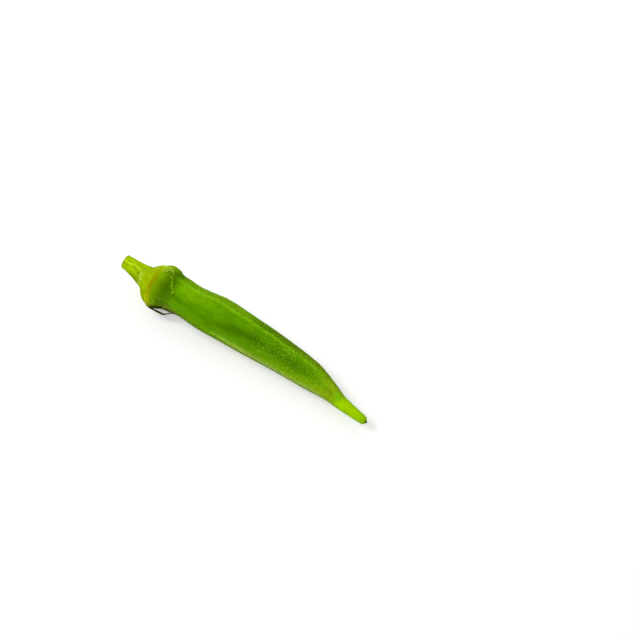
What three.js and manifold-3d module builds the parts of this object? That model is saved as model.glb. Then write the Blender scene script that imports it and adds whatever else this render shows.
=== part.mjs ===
// An okra pod lying on its side, as picked: a five-ridged seed capsule, the cut stalk that flares into a cap
// behind it, the dried end of the style at its tip, and the slender bracts left round the scar of the calyx.
// Millimetres, +Z up, resting on z = 0. The stalk points along -X and the tip along +X.
// The origin is on the resting surface, under the middle of the bounding box.
import * as THREE from "three";
import { mergeVertices } from "three/addons/utils/BufferGeometryUtils.js";
import Module from "manifold-3d";

const wasm = await Module();
wasm.setup();

// Driving dimensions. Stations are distances along the pod from the cut end of the stalk.
const LENGTH = 120.8; // cut end of the stalk to the end of the beak
const SCAR = 18.4; // station of the calyx scar, where the cap meets the capsule
const WAIST = 27; // station of the narrow waist behind the shoulder
const BEAK = 94; // station where the body starts to narrow into the beak
const BEAK_ROUND = 112; // station where the ridges have all but gone
const JOINT_GAP = 0.3; // left between pieces that meet
const DROOP = 0.052; // how much the centre line falls for each millimetre of length
const PRESSED = 0.12; // depth of the small flats that its weight presses into the skin
const BRACT_THICKNESS = 0.5;

// Ridge directions round the centre line, in degrees from straight up towards the near side (-Y).
const RIDGES = [-12, 79, 146, 214, 281];
const FACE_BULGE = 0.42; // 0 for flat faces between the ridges, 1 for a round section
const CREST_ROUNDING = 0.14; // how blunt the ridge crests are
const SHOULDER_RIDGING = 0.3; // how five-sided the section is at the scar, as a share of the body's
const BEAK_RIDGING = 0.35; // and how five-sided it is in the beak
const STALK_RIB_DEPTH = 0.09; // as a share of the stalk's radius

// The keel is the swell on the lower near side that carries the shoulder on into the body. Its height is a
// share of the capsule's radius. It fades over a length along the pod and a width in degrees round it.
const KEEL = { height: 0.19, station: 25, length: 4, degrees: 130, width: 28 };

// Stations of the centre line, and how far it lies towards the far side (+Y) there: the stalk and the
// shoulder lean to the near side, and the rest bows away from it.
const SWAY = [
  [0, -0.55],
  [11, -1.05],
  [18, -1],
  [22, 0.5],
  [26, 1],
  [32, 0.9],
  [38, 1.2],
  [46, 2.2],
  [60, 3],
  [75, 3.8],
  [86, 4],
  [95, 3.8],
  [104, 2.73],
  [108, 1.9],
  [113, 1.45],
  [LENGTH, 0.97],
];
// Stations and ridge radii of the capsule, from the scar to the blunt end of the beak.
const CAPSULE_OUTLINE = [
  [SCAR + JOINT_GAP, 9.45],
  [19.6, 9.9],
  [21.4, 9.1],
  [24, 7.75],
  [28, 7.6],
  [34, 7.8],
  [41, 8.5],
  [47, 8.7],
  [60, 8.15],
  [75, 7.2],
  [88, 6.25],
  [94, 5.5],
  [100, 4.23],
  [106, 3.1],
  [112, 2.38],
  [118.5, 1.83],
  [120.2, 1.5],
  [LENGTH, 1],
];
// Stations and radii of the stalk, from its cut end to the rim of the cap.
const CAP = 12; // station where the stalk's ribs have died out and the cap begins
const STALK_OUTLINE = [
  [0, 2.75],
  [0.4, 3],
  [4, 3.5],
  [9, 4.28],
  [11.4, 4.75],
  [13, 5.5],
  [14.6, 7],
  [16.2, 8.35],
  [SCAR, 9.4],
];
// Radii of the style's stub, at distances from its foot.
const STYLE_OUTLINE = [
  [0, 0.55],
  [0.5, 0.5],
  [0.9, 0.25],
];
// The bracts: the most that each is wide, and the stops that its middle passes as
// [station, degrees from straight up towards the near side, clearance of the skin].
const BRACTS = {
  bract_over_shoulder: {
    width: 2.1,
    stops: [
      [18.3, -11, 0.5],
      [19.4, -19, 0.45],
      [21.2, -28, 0.45],
      [23, -23, 0.5],
      [25, -4, 0.5],
      [26.5, 12, 0.5],
      [27.7, 26, 0.5],
      [28.8, 40, 0.45],
    ],
  },
  bract_under_shoulder: {
    width: 1.1,
    stops: [
      [18.4, 112, 0.45],
      [19.8, 115, 0.5],
      [21.6, 119, 1.5],
      [23.9, 121, 2.8],
      [26.4, 121, 3],
      [28.9, 120, 1.8],
      [31, 118, 0.9],
      [33, 116, 0.45],
    ],
  },
  bract_far_side: {
    width: 1.4,
    stops: [
      [18.3, -104, 0.5],
      [19.6, -104, 0.5],
      [23, -102, 0.7],
      [27.5, -103, 0.8],
      [32, -107, 0.6],
      [36, -112, 0.45],
    ],
  },
};

const skinGreen = { color: 0x5d9a05, roughness: 0.45, metalness: 0 };
const stalkGreen = { color: 0x96b80c, roughness: 0.5, metalness: 0 };
const bractGreen = { color: 0x6f8f28, roughness: 0.65, metalness: 0 };
const driedBrown = { color: 0x2a2010, roughness: 0.8, metalness: 0 };

const { clamp, degToRad, euclideanModulo, lerp, radToDeg, smoothstep } = THREE.MathUtils;
const TURN = 2 * Math.PI;

// A smooth curve through [station, value] pairs, as a function of the station.
function smoothThrough(pairs) {
  const stations = pairs.map(([station]) => station);
  const values = pairs.map(([, value]) => value);
  const curve = new THREE.CubicInterpolant(stations, values, 1);
  return (station) => curve.evaluate(clamp(station, stations[0], stations.at(-1)))[0];
}

const sway = smoothThrough(SWAY);
const capsuleRadius = smoothThrough(CAPSULE_OUTLINE);

// The point at a distance from the centre line, in the direction of an angle from straight up.
function around(station, angle, radius) {
  const centre = new THREE.Vector3(station, sway(station), -DROOP * station);
  const outward = new THREE.Vector3(0, -Math.sin(angle), Math.cos(angle));
  return centre.addScaledVector(outward, radius);
}

// Where an angle lies between two ridges: the share of the way across its face, and the face's width.
function faceAt(angle) {
  const turned = euclideanModulo(angle - degToRad(RIDGES[0]), TURN);
  const starts = RIDGES.map((ridge) => degToRad(ridge - RIDGES[0]));
  const face = starts.findLastIndex((start) => start <= turned);
  const width = (starts[face + 1] ?? TURN) - starts[face];
  return { share: (turned - starts[face]) / width, width };
}

// How strongly the capsule's section is five-sided: blunt at the scar and in the beak.
function ridging(station) {
  const grown = lerp(SHOULDER_RIDGING, 1, smoothstep(station, SCAR, WAIST));
  const fading = lerp(1, BEAK_RIDGING, smoothstep(station, BEAK, BEAK_ROUND));
  return grown * fading;
}

// The share of the ridge radius that five ridges with flatter faces between them leave at an angle.
function fiveRidges(station, angle) {
  const { share, width } = faceAt(angle);
  const inward = Math.hypot(Math.sin(Math.PI * share), CREST_ROUNDING) - CREST_ROUNDING;
  const flatDepth = 1 - Math.cos(width / 2);
  return 1 - ridging(station) * (1 - FACE_BULGE) * flatDepth * inward;
}

// How far the keel stands out at an angle, as a share of the capsule's radius.
function keel(station, angle) {
  const along = (station - KEEL.station) / KEEL.length;
  const round = (radToDeg(euclideanModulo(angle, TURN)) - KEEL.degrees) / KEEL.width;
  return KEEL.height * Math.exp(-(along ** 2) - round ** 2);
}

// The capsule's radius at an angle, keel and all, as a share of its ridge radius there.
function capsuleShape(station, angle) {
  return fiveRidges(station, angle) + keel(station, angle);
}

// The stalk's radius as a share of its outline: blunt ribs that die out where it flares into the cap.
function stalkRibs(station, angle) {
  const depth = STALK_RIB_DEPTH * (1 - smoothstep(station, CAP / 2, CAP));
  return 1 - (depth * (1 - Math.cos(RIDGES.length * angle))) / 2;
}

// A lathe of an outline of [station, radius] pairs, set along the centre line. shape(station, angle)
// scales its radius, and angleOf(share) is the angle of a share of a full turn.
function lathed(outline, rings, turns, shape, angleOf = (share) => share * TURN) {
  const curve = new THREE.SplineCurve(outline.map(([s, r]) => new THREE.Vector2(r, s)));
  const rim = curve.getSpacedPoints(rings);
  const profile = [new THREE.Vector2(0, rim[0].y), ...rim, new THREE.Vector2(0, rim.at(-1).y)];
  const lathe = new THREE.LatheGeometry(profile, turns);
  const position = lathe.attributes.position;
  for (let i = 0; i < position.count; i++) {
    const { x: radius, y: station } = profile[i % profile.length];
    const angle = angleOf((Math.floor(i / profile.length) % turns) / turns);
    const placed = around(station, angle, radius * shape(station, angle));
    position.setXYZ(i, placed.x, placed.y, placed.z);
  }
  return welded(lathe);
}

// The geometry as one closed surface whose corners are shared.
function welded(geometry) {
  geometry.deleteAttribute("normal");
  geometry.deleteAttribute("uv");
  return mergeVertices(geometry, 1e-4);
}

function solidOf(geometry) {
  const mesh = new wasm.Mesh({
    numProp: 3,
    vertProperties: new Float32Array(geometry.attributes.position.array),
    triVerts: new Uint32Array(geometry.index.array),
  });
  return new wasm.Manifold(mesh);
}

function geometryOf(solid) {
  const mesh = solid.getMesh();
  return new THREE.BufferGeometry()
    .setAttribute("position", new THREE.BufferAttribute(mesh.vertProperties, 3))
    .setIndex(new THREE.BufferAttribute(mesh.triVerts, 1));
}

function piece(name, geometry, finish) {
  geometry.computeVertexNormals();
  const mesh = new THREE.Mesh(geometry, new THREE.MeshStandardMaterial(finish));
  mesh.name = name;
  return mesh;
}

// The seed capsule, with a line of vertices along every ridge.
function capsule() {
  const rings = 46;
  const stepsPerFace = 8;
  const angleOf = (share) => {
    const face = Math.floor(share * RIDGES.length);
    const across = share * RIDGES.length - face;
    return degToRad(lerp(RIDGES[face], RIDGES[face + 1] ?? RIDGES[0] + 360, across));
  };
  return lathed(CAPSULE_OUTLINE, rings, RIDGES.length * stepsPerFace, capsuleShape, angleOf);
}

// The cut stalk and the cap that it flares into.
function stalk() {
  const rings = 16;
  const turns = 30;
  return lathed(STALK_OUTLINE, rings, turns, stalkRibs);
}

// The dried stub of the style, on the end of the beak.
function styleStub() {
  const foot = LENGTH + JOINT_GAP;
  const outline = STYLE_OUTLINE.map(([rise, radius]) => [foot + rise, radius]);
  const rings = 4;
  const turns = 10;
  return lathed(outline, rings, turns, () => 1);
}

// A bract: a strap of lens-shaped section, broadest a third of the way along and narrow at its tip.
function bract({ width, stops }) {
  const sides = 6;
  const steps = 22;
  const middles = stops.map(([station, degrees, clearance]) => {
    const angle = degToRad(degrees);
    const skin = capsuleRadius(station) * capsuleShape(station, angle);
    return around(station, angle, skin + clearance + BRACT_THICKNESS / 2);
  });
  const route = new THREE.CatmullRomCurve3(middles);
  const strap = new THREE.CylinderGeometry(1, 1, 1, sides, steps);
  const position = strap.attributes.position;
  for (let i = 0; i < position.count; i++) {
    const along = clamp(0.5 - position.getY(i), 0, 1);
    const spot = route.getPointAt(along);
    const tangent = route.getTangentAt(along);
    const outward = spot.clone().sub(around(spot.x, 0, 0)).projectOnPlane(tangent).normalize();
    const across = outward.clone().cross(tangent);
    const taper = Math.sin(Math.PI * lerp(0.25, 0.95, along));
    spot.addScaledVector(across, (position.getX(i) * taper * width) / 2);
    spot.addScaledVector(outward, (position.getZ(i) * BRACT_THICKNESS) / 2);
    position.setXYZ(i, spot.x, spot.y, spot.z);
  }
  return welded(strap);
}

// The skin that lies lower than the resting surface is pressed flat.
function pressedFlat(geometry) {
  const depth = 8;
  const slab = new THREE.BoxGeometry(2 * LENGTH, LENGTH, depth).translate(LENGTH / 2, 0, -depth / 2);
  return geometryOf(solidOf(geometry).subtract(solidOf(welded(slab))));
}

const skin = capsule();
skin.computeBoundingBox();
const rise = -skin.boundingBox.min.z - PRESSED;
const raised = (geometry) => geometry.translate(0, 0, rise);

const pod = new THREE.Group();
pod.add(
  piece("capsule", pressedFlat(raised(skin)), skinGreen),
  piece("stalk", raised(stalk()), stalkGreen),
  piece("style_stub", raised(styleStub()), driedBrown),
);
for (const [name, shape] of Object.entries(BRACTS)) {
  pod.add(piece(name, raised(bract(shape)), bractGreen));
}

// Stand the origin under the middle of the bounding box.
const middle = new THREE.Box3().setFromObject(pod, true).getCenter(new THREE.Vector3());
for (const mesh of pod.children) mesh.position.set(-middle.x, -middle.y, 0);

export default pod;
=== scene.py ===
import itertools
import math

import bpy
import numpy as np
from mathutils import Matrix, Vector


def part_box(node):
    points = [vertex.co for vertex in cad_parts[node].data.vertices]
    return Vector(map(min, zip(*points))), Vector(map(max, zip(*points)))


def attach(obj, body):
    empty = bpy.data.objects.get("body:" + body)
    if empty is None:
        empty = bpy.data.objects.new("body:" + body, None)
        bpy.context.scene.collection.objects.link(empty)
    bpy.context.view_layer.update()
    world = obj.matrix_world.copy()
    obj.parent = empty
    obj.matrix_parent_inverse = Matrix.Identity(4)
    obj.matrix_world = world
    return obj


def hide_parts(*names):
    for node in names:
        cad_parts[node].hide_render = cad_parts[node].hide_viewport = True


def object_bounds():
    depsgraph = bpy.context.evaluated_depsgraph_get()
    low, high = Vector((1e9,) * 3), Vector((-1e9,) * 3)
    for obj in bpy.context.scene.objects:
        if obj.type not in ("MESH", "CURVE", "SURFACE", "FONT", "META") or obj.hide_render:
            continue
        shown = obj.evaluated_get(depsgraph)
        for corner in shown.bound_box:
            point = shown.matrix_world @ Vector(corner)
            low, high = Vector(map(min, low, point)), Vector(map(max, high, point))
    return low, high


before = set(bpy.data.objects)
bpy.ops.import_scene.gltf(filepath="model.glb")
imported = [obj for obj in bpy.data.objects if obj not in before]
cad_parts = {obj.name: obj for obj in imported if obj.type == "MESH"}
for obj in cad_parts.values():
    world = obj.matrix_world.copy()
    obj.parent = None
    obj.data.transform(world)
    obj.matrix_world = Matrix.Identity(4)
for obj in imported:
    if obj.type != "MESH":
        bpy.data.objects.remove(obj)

MM = 0.001
CAD_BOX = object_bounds()

# The pod's own measures, as its CAD solids have them.
LENGTH = 120.8
SCAR = 18.4
WAIST = 27
BEAK = 94
BEAK_ROUND = 112
JOINT_GAP = 0.3
DROOP = 0.052
CAP = 12
RIDGES = (-12, 79, 146, 214, 281)
FACE_BULGE = 0.42
CREST_ROUNDING = 0.14
SHOULDER_RIDGING = 0.3
BEAK_RIDGING = 0.35
STALK_RIBS = 5
STALK_RIB_DEPTH = 0.09
BRACT_THICKNESS = 0.5

# The keel is the swell on the lower near side that carries the shoulder on into the body. Its height is a
# share of the capsule's radius. It fades over a length along the pod and a width in degrees round it.
KEEL = {"height": 0.19, "station": 25, "length": 4, "degrees": 130, "width": 28}

SWAY = (
    (0, -0.55), (11, -1.05), (18, -1), (22, 0.5), (26, 1), (32, 0.9), (38, 1.2), (46, 2.2), (60, 3),
    (75, 3.8), (86, 4), (95, 3.8), (104, 2.73), (108, 1.9), (113, 1.45), (LENGTH, 0.97),
)
CAPSULE_OUTLINE = (
    (SCAR + JOINT_GAP, 9.45), (19.6, 9.9), (21.4, 9.1), (24, 7.75), (28, 7.6), (34, 7.8), (41, 8.5),
    (47, 8.7), (60, 8.15), (75, 7.2), (88, 6.25), (94, 5.5), (100, 4.23), (106, 3.1), (112, 2.38),
    (118.5, 1.83), (120.2, 1.5), (LENGTH, 1),
)
STALK_OUTLINE = (
    (0, 2.75), (0.4, 3), (4, 3.5), (9, 4.28), (11.4, 4.75), (13, 5.5), (14.6, 7), (16.2, 8.35), (SCAR, 9.4),
)


# ---- Shape helpers ----

def smoothstep(value, start, end):
    share = np.clip((value - start) / (end - start), 0, 1)
    return share * share * (3 - 2 * share)


def fading(value, start, end):
    """1 up to the start, and eased down to 0 at the end."""
    return 1 - smoothstep(value, start, end)


def between(value, start, full, fade, end):
    """Eased up from 0 at the start to 1, and down again from the fade to the end."""
    return smoothstep(value, start, full) * fading(value, fade, end)


def bell(value, middle, spread):
    return np.exp(-(((value - middle) / spread) ** 2))


def lerp(start, end, share):
    return start + (end - start) * share


def unit(vectors):
    """The vectors, each at length 1."""
    return vectors / (np.linalg.norm(vectors, axis=1, keepdims=True) + 1e-9)


def smooth_through(*pairs):
    """A smooth curve through (station, value) pairs, level past its ends, as a function of the station."""
    stations, values = np.array(pairs, float).T
    rises = np.diff(values) / np.diff(stations)
    slopes = np.concatenate([rises[:1], (rises[1:] + rises[:-1]) / 2, rises[-1:]])

    def value_at(station):
        station = np.clip(station, stations[0], stations[-1])
        i = np.clip(np.searchsorted(stations, station, side="right") - 1, 0, len(stations) - 2)
        step = stations[i + 1] - stations[i]
        t = (station - stations[i]) / step
        start = (1 + 2 * t) * (1 - t) ** 2 * values[i] + t * (1 - t) ** 2 * step * slopes[i]
        return start + t * t * (3 - 2 * t) * values[i + 1] + t * t * (t - 1) * step * slopes[i + 1]

    return value_at


def curve_through(points, fine=60):
    """Points along a smooth curve through the given ones, `fine` for each stretch between two of them."""
    points = np.array(points, float)
    ends = np.vstack([points[:1], points, points[-1:]])
    t = np.linspace(0, 1, fine, endpoint=False)[:, None]
    stretches = []
    for before, start, end, after in zip(ends, ends[1:], ends[2:], ends[3:]):
        leaving = (end - before) / 2
        arriving = (after - start) / 2
        cubic = 2 * start - 2 * end + leaving + arriving
        square = 3 * end - 3 * start - 2 * leaving - arriving
        stretches.append(((cubic * t + square) * t + leaving) * t + start)
    return np.vstack([*stretches, points[-1:]])


def evenly_along(points, count):
    """`count` points at equal distances along a line of points."""
    steps = np.linalg.norm(np.diff(points, axis=0), axis=1)
    travelled = np.concatenate([[0], np.cumsum(steps)])
    wanted = np.linspace(0, travelled[-1], count)
    return np.stack([np.interp(wanted, travelled, column) for column in points.T], 1)


def lumps(points, size, seed):
    """Smooth noise from -1 to 1 at the points, with lumps about `size` across."""
    lattice_side = 32
    lattice = np.random.default_rng(seed).uniform(-1, 1, (lattice_side,) * 3)
    cell, part = np.divmod(np.asarray(points) / size, 1)
    part = part * part * (3 - 2 * part)
    total = 0
    for corner in itertools.product((0, 1), repeat=3):
        weight = np.prod(np.where(corner, part, 1 - part), axis=-1)
        index = np.moveaxis((cell.astype(int) + corner) % lattice_side, -1, 0)
        total = total + weight * lattice[tuple(index)]
    return total


# ---- The pod's form ----

sway = smooth_through(*SWAY)
STYLE_LOW, STYLE_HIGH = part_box("style_stub")
STYLE_FOOT = LENGTH + JOINT_GAP
ORIGIN = np.array([
    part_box("stalk")[0].x / MM,
    (STYLE_LOW.y + STYLE_HIGH.y) / 2 / MM - sway(LENGTH),
    (STYLE_LOW.z + STYLE_HIGH.z) / 2 / MM + DROOP * STYLE_FOOT,
])
UNROLLED_RADIUS = 8


def around(station, degrees, radius):
    """The place at a distance from the centre line, in the direction of an angle from straight up."""
    angle = np.radians(degrees)
    x = station + ORIGIN[0]
    y = ORIGIN[1] + sway(station) - radius * np.sin(angle)
    z = ORIGIN[2] - DROOP * station + radius * np.cos(angle)
    return np.stack(np.broadcast_arrays(x, y, z), -1)


def polar(places):
    """The station and the angle of places: the reverse of `around`."""
    station = places[..., 0] - ORIGIN[0]
    y = places[..., 1] - ORIGIN[1] - sway(station)
    z = places[..., 2] - ORIGIN[2] + DROOP * station
    return station, np.degrees(np.arctan2(-y, z))


def unrolled(station, degrees):
    """The place on a straight tube of one radius, where patterns run true along the pod."""
    angle = np.radians(degrees)
    y = -UNROLLED_RADIUS * np.sin(angle)
    z = UNROLLED_RADIUS * np.cos(angle)
    return np.stack(np.broadcast_arrays(station, y, z), -1)


def round_from(degrees, middle):
    """How far round the pod an angle is from another, from -180 to 180."""
    return np.mod(degrees - middle + 180, 360) - 180


def outline_radius(outline):
    curve = curve_through(outline)
    return lambda station: np.interp(station, curve[:, 0], curve[:, 1])


capsule_radius = outline_radius(CAPSULE_OUTLINE)
stalk_radius = outline_radius(STALK_OUTLINE)


def face_at(degrees):
    """The share of the way across the face between two ridges, and that face's width in degrees."""
    turned = np.mod(np.asarray(degrees, float) - RIDGES[0], 360)
    starts = np.array([ridge - RIDGES[0] for ridge in RIDGES] + [360])
    face = np.clip(np.searchsorted(starts, turned, side="right") - 1, 0, len(RIDGES) - 1)
    width = starts[face + 1] - starts[face]
    return (turned - starts[face]) / width, width


def ridging(station):
    """How five-sided the capsule is: blunt at the scar and in the beak."""
    grown = lerp(SHOULDER_RIDGING, 1, smoothstep(station, SCAR, WAIST))
    return grown * lerp(1, BEAK_RIDGING, smoothstep(station, BEAK, BEAK_ROUND))


def five_ridges(station, degrees):
    share, width = face_at(degrees)
    inward = np.hypot(np.sin(np.pi * share), CREST_ROUNDING) - CREST_ROUNDING
    flat_depth = 1 - np.cos(np.radians(width) / 2)
    return 1 - ridging(station) * (1 - FACE_BULGE) * flat_depth * inward


def capsule_shape(station, degrees):
    """The capsule's radius, keel and all, as a share of its ridge radius."""
    swell = bell(station, KEEL["station"], KEEL["length"])
    swell = swell * bell(np.mod(degrees, 360), KEEL["degrees"], KEEL["width"])
    return five_ridges(station, degrees) + KEEL["height"] * swell


def from_crest(station, degrees):
    """The distance round the skin to the nearest ridge crest."""
    share, width = face_at(degrees)
    return capsule_radius(station) * np.radians(width) * np.minimum(share, 1 - share)


CREST_RIB = (0.13, 0.5)  # height and half width of the fine rib along each crest
SUTURE = (0.09, 0.55)  # depth and half width of the faint groove down the middle of each face


def skin_radius(station, degrees):
    """The capsule's radius with its natural unevenness."""
    plain = capsule_radius(station) * capsule_shape(station, degrees)
    share, width = face_at(degrees)
    spot = unrolled(station, degrees)
    rib = CREST_RIB[0] * bell(from_crest(station, degrees), 0, CREST_RIB[1])
    rib = rib * (1 + 0.5 * lumps(spot, 1.7, 11))
    middle = capsule_radius(station) * np.radians(width) * (share - 0.5)
    suture = SUTURE[0] * bell(middle, 0, SUTURE[1])
    swells = 0.06 * lumps(spot * (0.45, 1, 1), 4.5, 12) + 0.03 * lumps(spot, 2.1, 13)
    fibres = 0.022 * lumps(spot * (0.08, 1, 1), 0.55, 14)
    return plain + between(station, 20, WAIST, BEAK, BEAK_ROUND) * (rib - suture + swells) + fibres


def on_floor(places):
    """Skin that would lie lower than the resting surface is pressed flat on it."""
    pressed = places.copy()
    pressed[..., 2] = np.maximum(pressed[..., 2], 0)
    return pressed


def skin_at(station, degrees, lift=0):
    return on_floor(around(station, degrees, skin_radius(station, degrees) + lift))


# ---- Mesh helpers ----

def put_in_scene(name, data):
    thing = bpy.data.objects.new(name, data)
    bpy.context.scene.collection.objects.link(thing)
    return thing


def make_piece(name, places, faces, materials, attributes=None, face_slots=None, crease=None):
    """A mesh piece from places in millimetres, smooth shaded, that rides with the pod."""
    mesh = bpy.data.meshes.new(name)
    mesh.from_pydata((np.asarray(places) * MM).tolist(), [], faces)
    for material in materials:
        mesh.materials.append(material)
    for key, values in (attributes or {}).items():
        values = np.asarray(values, float)
        kind, field = ("FLOAT_VECTOR", "vector") if values.ndim > 1 else ("FLOAT", "value")
        mesh.attributes.new(key, kind, "POINT").data.foreach_set(field, values.ravel())
    if face_slots is not None:
        mesh.polygons.foreach_set("material_index", face_slots)
    mesh.shade_smooth()
    if crease is not None:
        mesh.set_sharp_from_angle(angle=math.radians(crease))
    mesh.validate()
    mesh.update()
    piece = put_in_scene(name, mesh)
    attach(piece, "root")
    return piece


def ring_faces(rings, turns, closed=False):
    """Faces that join rings of `turns` corners to the next, and the last ring to the first if closed."""
    faces = []
    for ring in range(rings if closed else rings - 1):
        here = ring * turns
        after = (ring + 1) % rings * turns
        for turn in range(turns):
            beside = (turn + 1) % turns
            faces.append((here + turn, here + beside, after + beside, after + turn))
    return faces


def tube_faces(rings, turns):
    """Faces of a tube of rings that is closed, at each end, by a corner on its axis."""
    faces = ring_faces(rings, turns)
    first_pole = rings * turns
    last = (rings - 1) * turns
    for turn in range(turns):
        beside = (turn + 1) % turns
        faces.append((first_pole, beside, turn))
        faces.append((first_pole + 1, last + turn, last + beside))
    return faces


def with_poles(grid, first, last):
    """A tube's values or places, ring by ring, and after them those of the two corners on its axis."""
    grid = np.asarray(grid, float)
    return np.concatenate([grid.reshape(-1, *grid.shape[2:]), [first, last]])


def ridge_angles(steps_per_face):
    """Angles round the pod with one on every ridge crest."""
    edges = (*RIDGES, RIDGES[0] + 360)
    faces = [np.linspace(a, b, steps_per_face, endpoint=False) for a, b in zip(edges, edges[1:])]
    return np.concatenate(faces)


# ---- Materials ----

def srgb(red, green, blue):
    """A colour given in 8-bit screen values, as the shader's linear numbers."""
    shares = [value / 255 for value in (red, green, blue)]
    return (*[s / 12.92 if s < 0.04045 else ((s + 0.055) / 1.055) ** 2.4 for s in shares], 1)


class Nodes:
    """A node tree under construction. Most methods add a node and give back its output."""

    def __init__(self, tree):
        self.tree = tree

    def add(self, kind, inputs=(), **settings):
        node = self.tree.nodes.new(kind)
        for key, value in settings.items():
            setattr(node, key, value)
        for key, value in dict(inputs).items():
            self.plug(node.inputs[key], value)
        return node

    def plug(self, socket, value):
        if isinstance(value, bpy.types.NodeSocket):
            self.tree.links.new(value, socket)
        else:
            socket.default_value = value

    def math(self, operation, *values):
        return self.add("ShaderNodeMath", enumerate(values), operation=operation).outputs[0]

    def times(self, product, *values):
        for value in values:
            product = self.math("MULTIPLY", product, value)
        return product

    def vector(self, operation, *values):
        return self.add("ShaderNodeVectorMath", enumerate(values), operation=operation).outputs[0]

    def ramp(self, value, start, end, low=0.0, high=1.0):
        """The value's share of the way from start to end, eased, between low and high."""
        inputs = {"Value": value, 1: start, 2: end, 3: low, 4: high}
        return self.add("ShaderNodeMapRange", inputs, interpolation_type="SMOOTHSTEP").outputs[0]

    def blend(self, share, under, over, way="MIX"):
        inputs = {0: share, 6: under, 7: over}
        settings = {"data_type": "RGBA", "blend_type": way}
        return self.add("ShaderNodeMix", inputs, **settings).outputs[2]

    def layered(self, colour, *layers):
        """The colour with layers of (share, colour) over it; a share may be the name of an attribute."""
        for share, over in layers:
            if isinstance(share, str):
                share = self.attribute(share)
            colour = self.blend(share, colour, over)
        return colour

    def colours(self, value, *stops, full=1):
        """A colour ramp over stops of (value, colour), up to the `full` value."""
        if full != 1:
            value = self.math("DIVIDE", value, full)
        node = self.add("ShaderNodeValToRGB", {"Fac": value})
        elements = node.color_ramp.elements
        while len(elements) < len(stops):
            elements.new(1)
        for element, (place, colour) in zip(elements, stops):
            element.position = place / full
            element.color = colour
        return node.outputs[0]

    def noise(self, vector, scale, detail=4.0, roughness=0.6):
        inputs = {"Vector": vector, "Scale": scale, "Detail": detail, "Roughness": roughness}
        return self.add("ShaderNodeTexNoise", inputs).outputs[0]

    def attribute(self, name, output="Fac"):
        return self.add("ShaderNodeAttribute", attribute_name=name).outputs[output]

    def place(self):
        """The place on the piece in millimetres."""
        metres = self.add("ShaderNodeTexCoord").outputs["Object"]
        return self.vector("MULTIPLY", metres, (1 / MM,) * 3)

    def bump(self, height, depth):
        return self.add("ShaderNodeBump", {"Height": height, "Distance": depth * MM}).outputs[0]


def new_group(name, *inputs, outputs):
    """A shader node group whose socket Place is a vector and whose others are plain values."""
    tree = bpy.data.node_groups.new(name, "ShaderNodeTree")
    for key in inputs:
        kind = "NodeSocketVector" if key == "Place" else "NodeSocketFloat"
        tree.interface.new_socket(key, in_out="INPUT", socket_type=kind)
    for key in outputs:
        tree.interface.new_socket(key, in_out="OUTPUT", socket_type="NodeSocketFloat")
    nodes = Nodes(tree)
    given = nodes.add("NodeGroupInput").outputs
    result = nodes.add("NodeGroupOutput").inputs
    return tree, nodes, given, result


def make_fibres_group():
    """Fine lengthwise fibres: a place in the pod's unrolled millimetres in, a 0 to 1 streak value out."""
    inputs = ("Place", "Stretch", "Fineness")
    tree, nodes, given, result = new_group("lengthwise_fibres", *inputs, outputs=["Streaks"])
    squeeze = nodes.add("ShaderNodeCombineXYZ", {0: given["Stretch"], 1: 1.0, 2: 1.0}).outputs[0]
    drawn_out = nodes.vector("MULTIPLY", given["Place"], squeeze)
    fine = nodes.noise(drawn_out, given["Fineness"], 3.0)
    nodes.plug(result["Streaks"], nodes.ramp(fine, 0.3, 0.7))
    return tree


def make_specks_group():
    """Fine ragged specks, as down and its roots make: the barer, the fewer of them."""
    tree, nodes, given, result = new_group("fine_specks", "Place", "Fineness", "Bareness", outputs=["Mask"])
    specks = nodes.noise(given["Place"], given["Fineness"], 2.0)
    full = nodes.math("ADD", given["Bareness"], 0.12)
    nodes.plug(result["Mask"], nodes.ramp(specks, given["Bareness"], full))
    return tree


def make_mottle_group():
    """Soft patches that run lengthwise: a shade round 1 out, to multiply a colour by."""
    tree, nodes, given, result = new_group("lengthwise_mottle", "Place", "Depth", outputs=["Shade"])
    drawn_out = nodes.vector("MULTIPLY", given["Place"], (0.45, 1, 1))
    patches = nodes.ramp(nodes.noise(drawn_out, 0.42), 0.3, 0.7, -1.0, 0.5)
    nodes.plug(result["Shade"], nodes.math("MULTIPLY_ADD", patches, given["Depth"], 1.0))
    return tree


def make_broken_group():
    """How a fine brown line comes and goes: a share from a half to 1."""
    tree, nodes, given, result = new_group("broken_line", "Place", outputs=["Share"])
    nodes.plug(result["Share"], nodes.ramp(nodes.noise(given["Place"], 1.3, 3.0), 0.35, 0.6, 0.5, 1.0))
    return tree


def make_grain_group():
    """The fine grain of living skin, with the roughness that goes with it."""
    inputs = ("Place", "Fineness", "Smoothest", "Roughest")
    tree, nodes, given, result = new_group("skin_grain", *inputs, outputs=["Grain", "Roughness"])
    grain = nodes.noise(given["Place"], given["Fineness"])
    nodes.plug(result["Grain"], grain)
    nodes.plug(result["Roughness"], nodes.ramp(grain, 0.25, 0.75, given["Smoothest"], given["Roughest"]))
    return tree


FIBRES = make_fibres_group()
SPECKS = make_specks_group()
MOTTLE = make_mottle_group()
BROKEN = make_broken_group()
GRAIN = make_grain_group()


def use_group(nodes, group, **inputs):
    """A group placed in a material, its inputs named in lower case: its output, or all if it has more."""
    named = {key.title(): value for key, value in inputs.items()}
    node = nodes.add("ShaderNodeGroup", named, node_tree=group)
    return node.outputs[0] if len(node.outputs) == 1 else tuple(node.outputs)


def new_material(name, roughness, specular=0.0):
    """A material with its Principled BSDF: returns the material, its Nodes and the shader's inputs."""
    material = bpy.data.materials.new(name)
    material.use_nodes = True
    shader = material.node_tree.nodes["Principled BSDF"].inputs
    shader["Roughness"].default_value = roughness
    shader["Specular IOR Level"].default_value = specular
    return material, Nodes(material.node_tree), shader


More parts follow.
